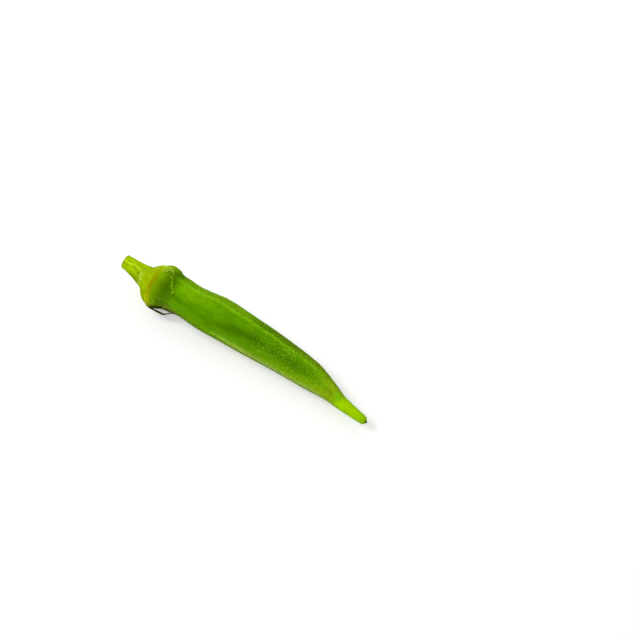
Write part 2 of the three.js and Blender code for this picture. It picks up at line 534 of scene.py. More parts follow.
# Greens and browns of the pod.
FACE_GREEN = srgb(84, 138, 0)
DEEP_GREEN = srgb(58, 101, 0)
CREST_GREEN = srgb(111, 167, 4)
RIDGE_YELLOW = srgb(172, 192, 86)
# The dome's light green and the slope's dark green are partly the pod's own colour and partly painted light
# and shade.
SLOPE_GREEN_AND_SHADE = srgb(67, 109, 0)
DOME_GREEN_AND_LIGHT = srgb(127, 172, 0)
YELLOW_GREEN = srgb(120, 158, 4)
BEAK_LIME = srgb(152, 200, 0)
BEAK_GREEN = srgb(108, 178, 0)
BEAK_END = srgb(140, 188, 0)
TIP_GREEN = srgb(78, 131, 0)
TIP_YELLOW = srgb(140, 170, 12)
SPECK_PALE = srgb(154, 208, 40)
SPECK_DARK = srgb(44, 84, 0)
FLANK_OLIVE = srgb(114, 142, 18)
FLANK_BROWN = srgb(112, 128, 10)
EDGE_BROWN_AND_SHADE = srgb(26, 28, 2)
KEEL_BROWN = srgb(48, 54, 2)
FAR_GREEN = srgb(101, 145, 6)
FAR_DARK = srgb(72, 115, 4)
FAR_YELLOW = srgb(134, 168, 12)
# Also the colour of the painted highlight on the top of the waist.
WAIST_GREEN = srgb(100, 151, 2)
DULL_BROWN = srgb(104, 124, 6)
SEAM_BROWN = srgb(92, 84, 10)
STALK_LIME = srgb(148, 182, 2)
STALK_OLIVE = srgb(112, 146, 6)
STALK_LINE = srgb(190, 216, 44)
CAP_LIME = srgb(126, 160, 0)
CAP_OCHRE = srgb(138, 138, 4)
PATCH_CREAM = srgb(182, 196, 84)
BARK_BROWN = srgb(78, 84, 12)
SCAR_ORANGE = srgb(128, 104, 0)
SCAR_YELLOW = srgb(184, 198, 14)
SCAR_OCHRE = srgb(142, 142, 4)
SCAR_BAND = srgb(140, 160, 4)
STRAP_GREEN = srgb(92, 138, 2)
STRAP_PALE = srgb(176, 204, 54)
STRAP_DARK = srgb(116, 153, 4)
BRACT_GREEN = srgb(96, 146, 6)
BRACT_PALE = srgb(146, 182, 40)
BRACT_OLIVE = srgb(62, 70, 16)
# Withered brown, and also the painted shade of the bract under the shoulder.
BRACT_BROWN_AND_SHADE = srgb(44, 42, 12)
HAIR_ROOT = srgb(100, 150, 6)
HAIR_PALE = srgb(156, 192, 40)
BRISTLE_ROOT = srgb(72, 88, 4)
BRISTLE_PALE = srgb(184, 206, 64)
BRISTLE_CREAM = srgb(206, 216, 120)
BEAD_GREEN = srgb(156, 208, 18)
BEAD_PALE = srgb(206, 246, 60)
PITH_PALE = srgb(206, 216, 130)
STYLE_DARK = srgb(34, 24, 14)
STYLE_BROWN = srgb(80, 54, 20)


def mottled(nodes, place, colour, depth):
    """The colour, a little darker and lighter in soft patches that run lengthwise."""
    shade = use_group(nodes, MOTTLE, place=place, depth=depth)
    grey = nodes.add("ShaderNodeCombineColor", {0: shade, 1: shade, 2: shade}).outputs[0]
    return nodes.blend(1.0, colour, grey, "MULTIPLY")


def skin_material():
    """The capsule's skin: pale ridges, deep green faces, a lime beak, speckled with down."""
    material, nodes, shader = new_material("pod_skin", 0.42)
    place = nodes.place()
    flat_place = nodes.attribute("unrolled", "Vector")
    along = nodes.attribute("along")

    # The faces, from the scar to the tip, and the far side. The dome past the scar is painted lighter and its
    # slope down to the waist painted darker: partly the pod's own colour, partly painted light and shade.
    ground = nodes.colours(
        along, (19.6, DOME_GREEN_AND_LIGHT), (21, DOME_GREEN_AND_LIGHT), (24, SLOPE_GREEN_AND_SHADE), (26, SLOPE_GREEN_AND_SHADE), (30, FACE_GREEN),
        (64, FACE_GREEN), (80, TIP_GREEN), (88, TIP_GREEN), (98, WAIST_GREEN), (107, TIP_YELLOW), full=LENGTH,
    )
    far_green = nodes.colours(
        along, (28, FAR_GREEN), (54, FAR_GREEN), (67, FAR_DARK), (80, FAR_DARK), (93, FAR_GREEN),
        (102, FAR_YELLOW), full=LENGTH,
    )
    colour = nodes.layered(
        ground, ("deep_band", DEEP_GREEN), ("yellow_band", YELLOW_GREEN), ("yellow_sides", TIP_YELLOW),
        ("bright_waist", WAIST_GREEN), ("far_side", far_green),
    )

    # The ragged paler green by the crests, and then the lower ridge and what lies under it, down to the
    # keel's edge of brown and painted shade.
    ragged = nodes.noise(nodes.vector("MULTIPLY", flat_place, (0.6, 1.2, 1.2)), 0.7, 3.0)
    near_crest = nodes.math("MULTIPLY_ADD", ragged, 1.2, nodes.attribute("from_crest"))
    body = nodes.times(nodes.ramp(along, 25, 31), nodes.ramp(along, 101, 94))
    near_crest = nodes.times(nodes.ramp(near_crest, 1.9, 0.7), body, nodes.attribute("crest_light"))
    colour = mottled(nodes, flat_place, nodes.blend(near_crest, colour, CREST_GREEN), 0.16)
    colour = nodes.layered(
        colour, ("pale_ridge", RIDGE_YELLOW), ("flank", FLANK_OLIVE), ("flank_brown", FLANK_BROWN),
        ("edge_brown", EDGE_BROWN_AND_SHADE), ("dull_patch", DULL_BROWN),
    )

    # The lime beak, and the band that the calyx left, with a fine broken line along each side.
    lime = nodes.colours(along, (107, BEAK_LIME), (116, BEAK_LIME), (119.5, BEAK_END), full=LENGTH)
    band = nodes.blend(nodes.attribute("scar_yellow"), SCAR_BAND, SCAR_YELLOW)
    broken = use_group(nodes, BROKEN, place=place)
    colour = nodes.layered(
        colour, ("beak", mottled(nodes, flat_place, lime, 0.1)), ("beak_patch", BEAK_GREEN),
        ("scar_band", band), (nodes.times(nodes.attribute("scar_line"), broken), SCAR_ORANGE),
        (nodes.times(nodes.attribute("seam"), broken), SEAM_BROWN),
    )

    # Down and its specks, thicker on the ridges and towards the tip, the dark ones apart from the pale ones.
    pale = use_group(nodes, SPECKS, place=place, fineness=2.0, bareness=0.54)
    elsewhere = nodes.vector("ADD", place, (3.7, 1.9, 5.3))
    dark = use_group(nodes, SPECKS, place=elsewhere, fineness=1.8, bareness=0.55)
    fuzzy, pale_ridge, hairy = (nodes.attribute(mask) for mask in ("fuzz", "pale_ridge", "hairy_keel"))
    pale = nodes.times(pale, fuzzy)
    colour = nodes.layered(
        colour, (nodes.times(dark, fuzzy, 0.65), SPECK_DARK), (nodes.times(pale, 0.75), SPECK_PALE),
        (nodes.times(dark, pale_ridge, 0.75), FLANK_BROWN),
        (nodes.times(pale, pale_ridge, 0.8), BRISTLE_CREAM),
        (nodes.times(dark, hairy, 0.95), KEEL_BROWN), (nodes.times(pale, hairy, 0.8), BRISTLE_PALE),
    )
    nodes.plug(shader["Base Color"], colour)

    streaks = use_group(nodes, FIBRES, place=flat_place, stretch=0.06, fineness=1.2)
    grain, roughness = use_group(nodes, GRAIN, place=place, fineness=2.6, smoothest=0.36, roughest=0.56)
    height = nodes.math("MULTIPLY_ADD", streaks, 0.5, nodes.times(grain, 0.5))
    height = nodes.math("MULTIPLY_ADD", pale, 0.3, height)
    nodes.plug(shader["Roughness"], roughness)
    nodes.plug(shader["Normal"], nodes.bump(height, 0.09))
    return material


def stalk_material():
    """The stalk and its cap: lime with fine lengthwise lines, and a torn pale patch on the lower side."""
    material, nodes, shader = new_material("stalk_skin", 0.5)
    place = nodes.place()
    flat_place = nodes.attribute("unrolled", "Vector")
    along = nodes.attribute("along")
    streaks = use_group(nodes, FIBRES, place=flat_place, stretch=0.05, fineness=1.1)
    broad = nodes.noise(nodes.vector("MULTIPLY", flat_place, (0.3, 1, 1)), 0.35, 2.0, 0.5)
    ground = nodes.colours(along, (10.12, STALK_LIME), (13.8, CAP_LIME), full=SCAR)
    shaded = nodes.math("MAXIMUM", nodes.attribute("olive"), nodes.ramp(broad, 0.4, 0.75, 0.0, 0.4))
    colour = nodes.layered(ground, (shaded, STALK_OLIVE), (nodes.times(streaks, 0.2), SCAR_YELLOW))
    ochre = nodes.ramp(nodes.noise(place, 0.8, 4.0, 0.65), 0.45, 0.62)
    blotchy = nodes.ramp(nodes.noise(place, 1.7, 4.0, 0.65), 0.46, 0.54)
    colour = nodes.layered(
        mottled(nodes, flat_place, colour, 0.28),
        (nodes.times(ochre, nodes.ramp(along, 12.5, 15.5, 0.0, 0.55)), CAP_OCHRE),
        ("dark_line", BARK_BROWN), ("bright_line", STALK_LINE),
        (nodes.times(nodes.attribute("torn"), blotchy), PATCH_CREAM), ("torn_edge", BARK_BROWN),
    )
    nodes.plug(shader["Base Color"], colour)
    grain, roughness = use_group(nodes, GRAIN, place=place, fineness=3.0, smoothest=0.42, roughest=0.6)
    height = nodes.math("MULTIPLY_ADD", streaks, 0.7, nodes.times(grain, 0.4))
    nodes.plug(shader["Roughness"], roughness)
    nodes.plug(shader["Normal"], nodes.bump(height, 0.12))
    return material


def cut_material():
    """The cut end of the stalk: pale pith in a ring of wood fibres, browned at the rim."""
    material, nodes, shader = new_material("cut_pith", 0.7, 0.02)
    grain = nodes.noise(nodes.place(), 5.0, 4.0, 0.7)
    uneven = nodes.math("MULTIPLY_ADD", nodes.math("SUBTRACT", grain, 0.5), 0.2, nodes.attribute("out_share"))
    colour = nodes.colours(
        uneven, (0.5, PITH_PALE), (0.6, YELLOW_GREEN), (0.75, PITH_PALE), (0.88, STALK_OLIVE),
        (1, BARK_BROWN),
    )
    nodes.plug(shader["Base Color"], colour)
    nodes.plug(shader["Normal"], nodes.bump(grain, 0.25))
    return material


def scar_material():
    """The dried seam that the calyx left: ochre flecks in olive."""
    material, nodes, shader = new_material("calyx_scar", 0.65)
    place = nodes.place()
    flecks = nodes.noise(place, 1.6, 4.0, 0.65)
    flecked = nodes.colours(flecks, (0.4, CAP_LIME), (0.6, SCAR_BAND), (0.75, SCAR_OCHRE))
    line = nodes.times(nodes.attribute("line"), use_group(nodes, BROKEN, place=place))
    nodes.plug(shader["Base Color"], nodes.blend(line, flecked, SCAR_ORANGE))
    nodes.plug(shader["Normal"], nodes.bump(flecks, 0.12))
    return material


def bract_material(name, inside, margin, veins):
    """A withered bract: veined at its base, flecked, with paler margins and a browned tip."""
    material, nodes, shader = new_material(name, 0.6)
    tipward = nodes.attribute("tip_share")
    grain = nodes.noise(nodes.place(), 1.8, 4.0, 0.65)
    rim = nodes.ramp(nodes.math("MULTIPLY_ADD", grain, 0.4, nodes.attribute("edge_share")), 0.95, 1.2)
    veined = nodes.blend(nodes.ramp(nodes.attribute("veins"), 0.25, 0.65), *veins)
    browned = nodes.ramp(nodes.math("MULTIPLY_ADD", grain, 0.5, tipward), 1.1, 1.6)
    colour = nodes.layered(
        inside, (nodes.times(rim, 0.45), margin), (nodes.ramp(grain, 0.55, 0.44, 0.0, 0.7), SPECK_DARK),
        (nodes.ramp(tipward, 0.45, 0.25, 0.0, 0.8), veined), (browned, BRACT_BROWN_AND_SHADE),
    )
    nodes.plug(shader["Base Color"], colour)
    nodes.plug(shader["Normal"], nodes.bump(grain, 0.1))
    return material


def hair_material(name, colour_at_root, colour_at_tip):
    """Down and bristles: a little darker at the root, each hair a little different."""
    material, nodes, shader = new_material(name, 0.6)
    nodes.plug(shader["Base Color"], nodes.blend(nodes.attribute("tone"), colour_at_root, colour_at_tip))
    return material


def style_material():
    """The dried stub of the style: nearly black, with brown grain."""
    material, nodes, shader = new_material("dried_style", 0.75, 0.05)
    grain = nodes.noise(nodes.place(), 6.0, 3.0, 0.5)
    nodes.plug(shader["Base Color"], nodes.blend(nodes.ramp(grain, 0.4, 0.7), STYLE_DARK, STYLE_BROWN))
    nodes.plug(shader["Normal"], nodes.bump(grain, 0.1))
    return material


def floor_material():
    """A plain pale studio floor, with the faintest unevenness."""
    material, nodes, shader = new_material("pale_floor", 0.8)
    grain = nodes.noise(nodes.place(), 0.02, 2.0, 0.5)
    nodes.plug(shader["Base Color"], nodes.blend(grain, (0.47, 0.47, 0.47, 1), (0.5, 0.5, 0.5, 1)))
    shader["Emission Color"].default_value = (1, 1, 1, 1)
    shader["Emission Strength"].default_value = 0.44
    return material


# ---- Where the skin takes its tints ----

# In degrees, by station: the middle of the pale band along the lower ridge, the start of the brown flank
# under it, and the start of the dark edge of the keel and of the flank behind it, which is brown and painted
# shade.
PALE_MIDDLE = smooth_through((38, 76), (50, 82), (64, 87), (75, 90), (88, 90), (96, 86))
FLANK_START = smooth_through(
    (20, 104), (25, 105), (30, 98), (35, 90), (38, 88), (46, 94), (54, 99), (75, 105), (100, 108),
)
EDGE_START = smooth_through((20, 106), (22, 109), (24, 114), (27, 117), (36, 116), (58, 112))
# The stations of the fine lines along the two sides of the calyx band, by degrees from -180 to 180.
LINE_ONE = smooth_through(
    (-180, 19.1), (-60, 19), (0, 18.85), (40, 19.2), (60, 19.3), (80, 19.6), (180, 19.1),
)
LINE_TWO = smooth_through((-180, 19.7), (-60, 19.5), (-10, 19), (10, 19.8), (40, 20), (70, 20.2), (180, 19.7))
# The deep green band of each face, by station: its middle and spread as shares of the face, and its depth.
BAND_MIDDLE = smooth_through(
    (30, 0.6), (39, 0.62), (48, 0.66), (56, 0.58), (64, 0.48), (80, 0.45), (100, 0.4),
)
BAND_SPREAD = smooth_through((30, 0.1), (39, 0.17), (50, 0.22), (64, 0.27), (80, 0.25), (100, 0.24))
BAND_DEPTH = smooth_through(
    (27, 0.35), (31, 0.6), (39, 0.5), (48, 0.42), (56, 0.75), (65, 1), (72, 0.82), (82, 0.88), (90, 0.6),
    (98, 0.2), (106, 0),
)
# Soft patches: the station and the spread along the pod, then the direction and the spread round it.
PATCHES = {
    # The patch on the waist is a painted highlight.
    "bright_waist": (35, 13, 6, 26),
    "far_shoulder": (25.5, 3.5, 232, 55),
    "dull_patch": (103.8, 1.8, 30, 15),
    "beak_patch": (106.9, 1.6, 10, 28),
    "beak_speck": (112.6, 0.8, 108, 18),
}


def patch(name, station, degrees):
    middle, length, direction, width = PATCHES[name]
    return bell(station, middle, length) * bell(round_from(degrees, direction), 0, width)


def face_masks(station, degrees):
    """The faces: their deep green band, their yellower sides, a painted highlight on the waist, the far side,
    and how light the crests are.
    """
    turned = np.mod(degrees, 360)
    share, _ = face_at(degrees)
    drawn_out = unrolled(station, degrees) * (0.3, 1, 1)
    waist = smoothstep(station, 26, 30)
    across = bell(share + 0.05 * lumps(drawn_out, 3.5, 41), BAND_MIDDLE(station), BAND_SPREAD(station))
    deep = BAND_DEPTH(station) * across * (0.85 + 0.3 * lumps(drawn_out, 2.6, 42))
    far = between(turned, 276, 292, 338, 352) * waist
    dim_ridge = bell(turned, 79, 22) * fading(station, 40, 54)
    return {
        "deep_band": deep * waist,
        "yellow_band": 0.7 * bell(share, 0.92, 0.22) * between(station, 62, 88, 100, 106) * waist,
        "bright_waist": patch("bright_waist", station, degrees) * waist,
        "far_side": np.maximum(far, 0.8 * patch("far_shoulder", station, degrees)),
        "crest_light": 1 - 0.35 * between(station, 56, 66, 86, 94) - 0.8 * dim_ridge,
    }


def low_side_masks(station, degrees):
    """The lower near side: the pale ridge, the olive and brown flank under it, the hairy keel, and the keel's
    dark edge of brown and painted shade.
    """
    turned = np.mod(degrees, 360)
    spot = unrolled(station, degrees)
    pale = bell(turned, PALE_MIDDLE(station), 10) * between(station, 46, 67, 95, 104)
    pale = pale * (1 + 0.4 * smoothstep(station, 74, 84)) * (0.85 + 0.35 * lumps(spot, 0.9, 45))
    flank = smoothstep(turned - FLANK_START(station), 0, 14) * fading(turned, 150, 185)
    flank = flank * between(station, 19.5, 22, 98, 106) * (0.8 + 0.3 * lumps(spot, 1.4, 47))
    # The keel's dark edge: partly brown, partly painted shade.
    edge = smoothstep(turned - EDGE_START(station), -6, 5) * fading(turned, 146, 164)
    edge = edge * smoothstep(station, 19.6, 20.8) * (fading(station, 44, 58) + fading(station, 29, 36)) / 2
    hairy = bell(turned, 110, 19) * between(station, 19.2, 20.6, 44, 62)
    return {
        "pale_ridge": pale,
        "flank": flank,
        "flank_brown": flank * (1 - 0.75 * smoothstep(station, 32, 46)),
        "edge_brown": edge,
        "hairy_keel": hairy * (1 - 0.5 * smoothstep(station, 27, 34)),
    }


def tip_masks(station, degrees):
    """The tip: the beak with its ragged start, the patches by it, and the brown seam along the far side."""
    turned = np.mod(degrees, 360)
    spot = unrolled(station, degrees)
    rough = 1.1 * lumps(spot, 1.6, 43) + 0.6 * lumps(spot, 0.7, 44)
    low_side = bell(turned, 62, 28)
    beak_start = 108.3 - 0.65 * low_side + 0.4 * bell(turned, 325, 40)
    softness = 0.9 + 0.9 * low_side
    wander = 0.9 + 0.3 * lumps(spot * (0.3, 1, 1), 3.5, 41)
    seam = bell(turned, 302, 9) * between(station, 66, 78, 115, 119)
    seam = seam * (1 - 0.5 * smoothstep(station, 104, 109))
    return {
        "yellow_sides": 0.8 * smoothstep(station, 93, 100) * (1 - bell(round_from(degrees, 24), 0, 30)),
        "beak": smoothstep(station - beak_start + rough, -softness, softness),
        "beak_patch": patch("beak_patch", station, degrees),
        "dull_patch": 0.85 * patch("dull_patch", station, degrees) * wander,
        "seam": np.maximum(seam, 1.7 * patch("beak_speck", station, degrees)),
    }


def scar_masks(station, degrees):
    """The band that the calyx left round the shoulder, with a fine line along each side of it."""
    facing = round_from(degrees, 0)
    waver = 0.08 * lumps(unrolled(station, degrees), 1.9, 48)
    one = LINE_ONE(facing) + waver
    two = LINE_TWO(facing) - waver - 0.1
    outer = bell(station, one, 0.34) * (1 - 0.9 * bell(facing, 92, 30))
    inner = 0.6 * bell(station, two, 0.2) * (1 - 0.85 * bell(facing, 82, 26))
    return {
        "scar_band": 0.85 * fading(station, two, two + 0.9),
        "scar_yellow": bell(facing, 80, 30),
        "scar_line": np.maximum(outer, inner),
    }


def skin_masks(station, degrees):
    """Where the skin takes each of its tints, by name, as shares from 0 to 1."""
    masks = {}
    for part in (face_masks, low_side_masks, tip_masks, scar_masks):
        masks.update(part(station, degrees))
    uneven = 0.7 + 0.3 * lumps(unrolled(station, degrees), 4, 46)
    fuzz = np.maximum(smoothstep(station, 54, 74) * uneven, 0.9 * bell(from_crest(station, degrees), 0, 1.1))
    on_keel = bell(np.mod(degrees, 360), 100, 32) * smoothstep(station, 19.5, 21)
    fuzz = np.maximum(fuzz * smoothstep(station, 26, 30), on_keel)
    masks["fuzz"] = np.maximum(fuzz, 0.8 * masks["far_side"]) * (1 - 0.85 * masks["beak"])
    return {key: np.clip(values, 0, 1) for key, values in masks.items()}


# ---- The pieces ----

def make_capsule():
    """The seed capsule's skin, from the scar to the blunt end of the beak."""
    rings = 400
    end_bulge = 0.12
    angles = ridge_angles(40)
    stations = evenly_along(curve_through(CAPSULE_OUTLINE), rings)[:, 0]
    station, degrees = np.meshgrid(stations, angles, indexing="ij")
    ends = np.array([stations[0], LENGTH])
    places = with_poles(skin_at(station, degrees), *around(ends + (0, end_bulge), 0, 0))
    attributes = {
        "along": with_poles(station, *ends),
        "from_crest": with_poles(from_crest(station, degrees), 0, 0),
        "unrolled": with_poles(unrolled(station, degrees), *unrolled(ends, 0)),
    }
    for key, values in skin_masks(station, degrees).items():
        attributes[key] = with_poles(values, 0, values[-1].mean())
    piece = make_piece("pod_skin", places, tube_faces(rings, len(angles)), [skin_material()], attributes)
    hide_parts("capsule")


# On the lower side of the stalk a sheath of loose skin is torn off short of the cap.
TORN_STATION = 10.7
TORN_MIDDLE = 56
TORN_SPREAD = 34
SHEATH_THICKNESS = 0.22
# The cut end is a little askew, and its rim stands out.
CUT_SLANT = 0.4
RIM_PROUD = 0.22


def torn_sheath(station, degrees):
    """1 where the loose outer skin still lies on the lower side of the stalk, 0 past its torn edge."""
    ragged_edge = TORN_STATION + 0.45 * lumps(unrolled(0, degrees), 1.2, 23)
    covered = between(station, 2, 8, ragged_edge - 0.25, ragged_edge + 0.05)
    return covered * bell(degrees, TORN_MIDDLE, TORN_SPREAD)


def stalk_surface(station, degrees):
    """The stalk's radius: blunt ribs, fine lines, and the step where a strip of skin is torn away."""
    depth = STALK_RIB_DEPTH * fading(station, CAP / 2, CAP)
    ribs = 1 - depth * (1 - np.cos(np.radians(STALK_RIBS * degrees))) / 2
    spot = unrolled(station, degrees)
    fine = 0.06 * lumps(spot * (0.1, 1, 1), 1.1, 21) + 0.07 * lumps(spot * (0.4, 1, 1), 3.2, 22)
    fine = fine * (1 - 0.8 * smoothstep(station, SCAR - 2, SCAR))
    crisp_rim = RIM_PROUD * fading(station, 0, 0.5)
    sheath = SHEATH_THICKNESS * torn_sheath(station, degrees)
    to_capsule = lerp(1, five_ridges(SCAR, degrees), smoothstep(station, CAP + 2, SCAR))
    return stalk_radius(station) * ribs * to_capsule + crisp_rim + fine + sheath


def cut_slant(degrees):
    """How much further along than its middle the cut end's rim is, for it is cut a little askew."""
    return CUT_SLANT * np.cos(np.radians(degrees - TORN_MIDDLE))


def stalk_lines(station, degrees):
    """The two bright lines that run down the stalk from its cut end, and the short dark ones beside them."""
    frayed = 0.75 + 0.5 * lumps(unrolled(station, degrees), 0.8, 28)
    first = bell(degrees, 17 - 0.7 * station, 3) * fading(station, 4.4, 5.4)
    second = bell(degrees, 2 + station, 2.3) * between(station, 4.2, 5.2, 9.5, 11.5)
    beside = bell(degrees, 8 - 0.7 * station, 2.6) * between(station, 0.8, 1.6, 3.5, 4.5)
    below = bell(degrees, 12 + station, 2.6) * between(station, 5, 6, 7.5, 9)
    bright = np.clip(np.maximum(first, second) * frayed, 0, 1)
    dark = 0.7 * np.maximum(beside, below)
    # On the cap, a fan of fine lines by the foot of the strap.
    by_strap = bell(degrees, -20, 17) * smoothstep(station, 14.5, 17.2)
    drawn_out = unrolled(station, degrees) * (0.3, 1, 1)
    fan = np.cos(np.radians(40 * degrees) + 3 * lumps(drawn_out, 3, 29))
    bright = np.maximum(bright, 0.6 * by_strap * np.clip(fan, 0, 1))
    return bright, np.maximum(dark, 0.45 * by_strap * np.clip(-fan, 0, 1))


def stalk_masks(station, degrees, on_side):
    """Where the stalk and its cap take each of their tints, as shares from 0 to 1."""
    spot = unrolled(station, degrees)
    step = torn_sheath(station, degrees)
    bare = between(station, TORN_STATION - 0.4, TORN_STATION + 0.2, TORN_STATION + 1, TORN_STATION + 2.8)
    strips = 0.6 + 0.6 * lumps(spot * (0.1, 1, 1), 0.7, 26)
    olive = bell(degrees, 95, 62) * (0.35 + 0.65 * smoothstep(station, 3, 8) * strips)
    olive = np.clip(olive, 0, 1) * fading(station, 10, 11.5)
    on_cap = 0.7 * bell(degrees, -20, 44) * smoothstep(station, 9, 13)
    browned_rim = 0.8 * smoothstep(0.9 * lumps(spot, 1.5, 27) - station, -0.5, 0.3) * on_side
    bright_line, dark_line = stalk_lines(station, degrees)
    return {
        "torn": bare * bell(degrees, TORN_MIDDLE, 31) * (1 - step),
        "torn_edge": 0.8 * bell(step, 0.5, 0.25) * bell(degrees, TORN_MIDDLE, TORN_SPREAD) * (station > 9),
        "olive": np.maximum(olive, on_cap),
        "bright_line": bright_line,
        "dark_line": np.maximum(dark_line, browned_rim),
    }


def make_stalk():
    """The cut stalk and the cap that it flares into, closed under the scar."""
    turns = 200
    end_rings = 13
    hollow = 0.25
    angles = np.linspace(-180, 180, turns, endpoint=False)
    side = evenly_along(curve_through(STALK_OUTLINE), 180)
    # Out over the cut face, ring by ring from its middle to the rim, and then along the side.
    shares, face_degrees = np.meshgrid(np.linspace(0, 1, end_rings + 2)[1:-1], angles, indexing="ij")
    stations, side_degrees = np.meshgrid(side[:, 0], angles, indexing="ij")
    dish = hollow * (1 - shares ** 2) + 0.07 * lumps(around(0, face_degrees, 3 * shares), 0.6, 24)
    dish = dish + cut_slant(face_degrees) * shares
    slanted = stations + cut_slant(side_degrees) * fading(stations, 0, 6)
    places = np.concatenate([
        around(dish, face_degrees, stalk_surface(0, face_degrees) * shares),
        around(slanted, side_degrees, stalk_surface(stations, side_degrees)),
    ])
    station = np.concatenate([0 * shares, stations])
    degrees = np.concatenate([face_degrees, side_degrees])
    out_share = np.concatenate([shares, 1 + 0 * stations])
    attributes = {
        "along": with_poles(station, 0, SCAR),
        "out_share": with_poles(out_share, 0, 1),
        "unrolled": with_poles(unrolled(station, degrees), *unrolled(np.zeros(2), 0)),
    }
    for key, values in stalk_masks(station, degrees, out_share == 1).items():
        attributes[key] = with_poles(values, 0, 0)
    rings = len(station)
    faces = tube_faces(rings, turns)
    on_cut = [min(face) < end_rings * turns or rings * turns in face for face in faces]
    places = with_poles(places, *around(np.array([hollow, SCAR]), 0, 0))
    materials = [stalk_material(), cut_material()]
    piece = make_piece("stalk_skin", places, faces, materials, attributes, face_slots=on_cut, crease=50)
    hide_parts("stalk")


def make_scar():
    """The thin ragged ring of dried tissue that the calyx left between the cap and the capsule."""
    turns = 360
    sides = 10
    sunk = 0.12
    angles = np.linspace(-180, 180, turns, endpoint=False)
    middle_station = SCAR + JOINT_GAP / 2
    spot = unrolled(middle_station, angles)
    skin = capsule_radius(SCAR + JOINT_GAP) * five_ridges(middle_station, angles)
    proud = 0.06 + 0.04 * lumps(spot, 1.1, 31) + 0.03 * lumps(spot, 0.4, 32)
    half_width = 0.38 + 0.08 * lumps(spot, 1.6, 33)
    wander = 0.06 * lumps(spot, 2.5, 34)
    ochre = 1 - 0.9 * bell(angles, 92, 30)
    rings = []
    line = []
    for corner in np.linspace(360, 0, sides, endpoint=False):
        turned = math.radians(corner)
        station = middle_station + wander + half_width * math.cos(turned)
        rings.append(around(station, angles, skin - sunk + (0.15 + proud) * math.sin(turned)))
        line.append(ochre * smoothstep(math.cos(turned), 0, 0.6))
    faces = ring_faces(sides, turns, closed=True)
    attributes = {"line": np.ravel(line)}
    piece = make_piece("calyx_scar", np.concatenate(rings), faces, [scar_material()], attributes)


def make_style():
    """The dried stub of the style, shrivelled and a little twisted."""
    turns = 24
    rings = 14
    rise = np.linspace(-0.35, 0.4, rings)
    radius = np.interp(rise, (-0.35, 0, 0.25, 0.36, 0.4), (0.34, 0.42, 0.36, 0.26, 0.14))
    angles = np.linspace(-180, 180, turns, endpoint=False)
    rises, degrees = np.meshgrid(rise, angles, indexing="ij")
    shrivelled = radius[:, None] * (1 + 0.18 * np.cos(np.radians(4 * degrees + 90 * rises)))
    places = around(STYLE_FOOT + rises, degrees, shrivelled)
    places = with_poles(places, *around(STYLE_FOOT + np.array([-0.35, 0.42]), 0, 0))
    piece = make_piece("dried_style", places, tube_faces(rings, turns), [style_material()])
    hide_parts("style_stub")


# How wide a slender bract is along its length, as a share of the most that it is wide.
SLENDER = ((0, 0.72), (0.2, 1), (0.35, 0.98), (0.7, 0.55), (1, 0.16))

# Each bract's hairs are (how many, the share of its length where they start, how stout they are), and its
# stops (station, degrees, clearance from the skin). A bract that doesn't twist lies on the skin.
BRACTS = {
    "bract_over_shoulder": {
        "width": 2.1,
        "hairs": (190, 0.45, 1.1),
        "inside": STRAP_GREEN,
        "margin": STRAP_PALE,
        "veins": (STRAP_DARK, STRAP_PALE),
        "twist": 0,
        "taper": ((0, 2.5), (0.12, 2.2), (0.28, 1.35), (0.42, 0.75), (0.7, 0.36), (1, 0.12)),
        "stops": (
            (18.4, -17, 0.4), (19.4, -19, 0.45), (21, -23, 0.45), (22.5, -18, 0.5),
            (24.3, -4, 0.5), (25.9, 12, 0.5), (27, 26, 0.5), (28.2, 40, 0.45),
        ),
    },
    "bract_under_shoulder": {
        "width": 1.2,
        "hairs": (70, 0.3, 1),
        # Its near-black brown and dark olive are partly its own withered colour and partly painted shade.
        "inside": BRACT_BROWN_AND_SHADE,
        "margin": BRACT_OLIVE,
        "veins": (BRACT_BROWN_AND_SHADE, BRACT_OLIVE),
        "twist": 55,
        "taper": SLENDER,
        "stops": (
            (18.4, 112, 0.45), (19.8, 115, 0.5), (21.6, 119, 1.3), (23.9, 121, 2.2),
            (26.2, 121, 2.2), (28.2, 120, 1.1), (30, 119, 0.5), (32.4, 118, 0.4),
        ),
    },
    "bract_far_side": {
        "width": 1.4,
        "hairs": (200, 0.3, 1),
        "inside": BRACT_GREEN,
        "margin": BRACT_PALE,
        "veins": (BRACT_GREEN, BRACT_PALE),
        "twist": 0,
        "taper": SLENDER,
        "stops": (
            (18.3, -104, 0.5), (19.6, -104, 0.5), (23, -102, 0.7), (27.5, -103, 0.8),
            (32, -107, 0.6), (36, -112, 0.45),
        ),
    },
}
STRAP_CLOSER = 0.55  # how much closer to the skin a bract lies than the middle of its solid
LAID_ON = 0.17  # from the skin to the middle of a bract that lies on it


def strap_frame(shape):
    """Places along a bract's middle, with the directions across it and out of the pod."""
    steps = 150
    middles = []
    for station, degrees, clearance in shape["stops"]:
        skin = capsule_radius(station) * capsule_shape(station, degrees)
        middles.append(around(station, degrees, skin + clearance + BRACT_THICKNESS / 2 - STRAP_CLOSER))
    route = evenly_along(curve_through(middles), steps)
    tangent = unit(np.gradient(route, axis=0))
    outward = route - around(route[:, 0] - ORIGIN[0], 0, 0)
    outward = unit(outward - tangent * np.sum(outward * tangent, axis=1, keepdims=True))
    across = np.cross(outward, tangent)
    turned = np.radians(shape["twist"]) * np.sin(np.pi * np.linspace(0, 0.75, steps))[:, None]
    leaning = across * np.cos(turned) + outward * np.sin(turned)
    return route, leaning, np.cross(tangent, leaning)


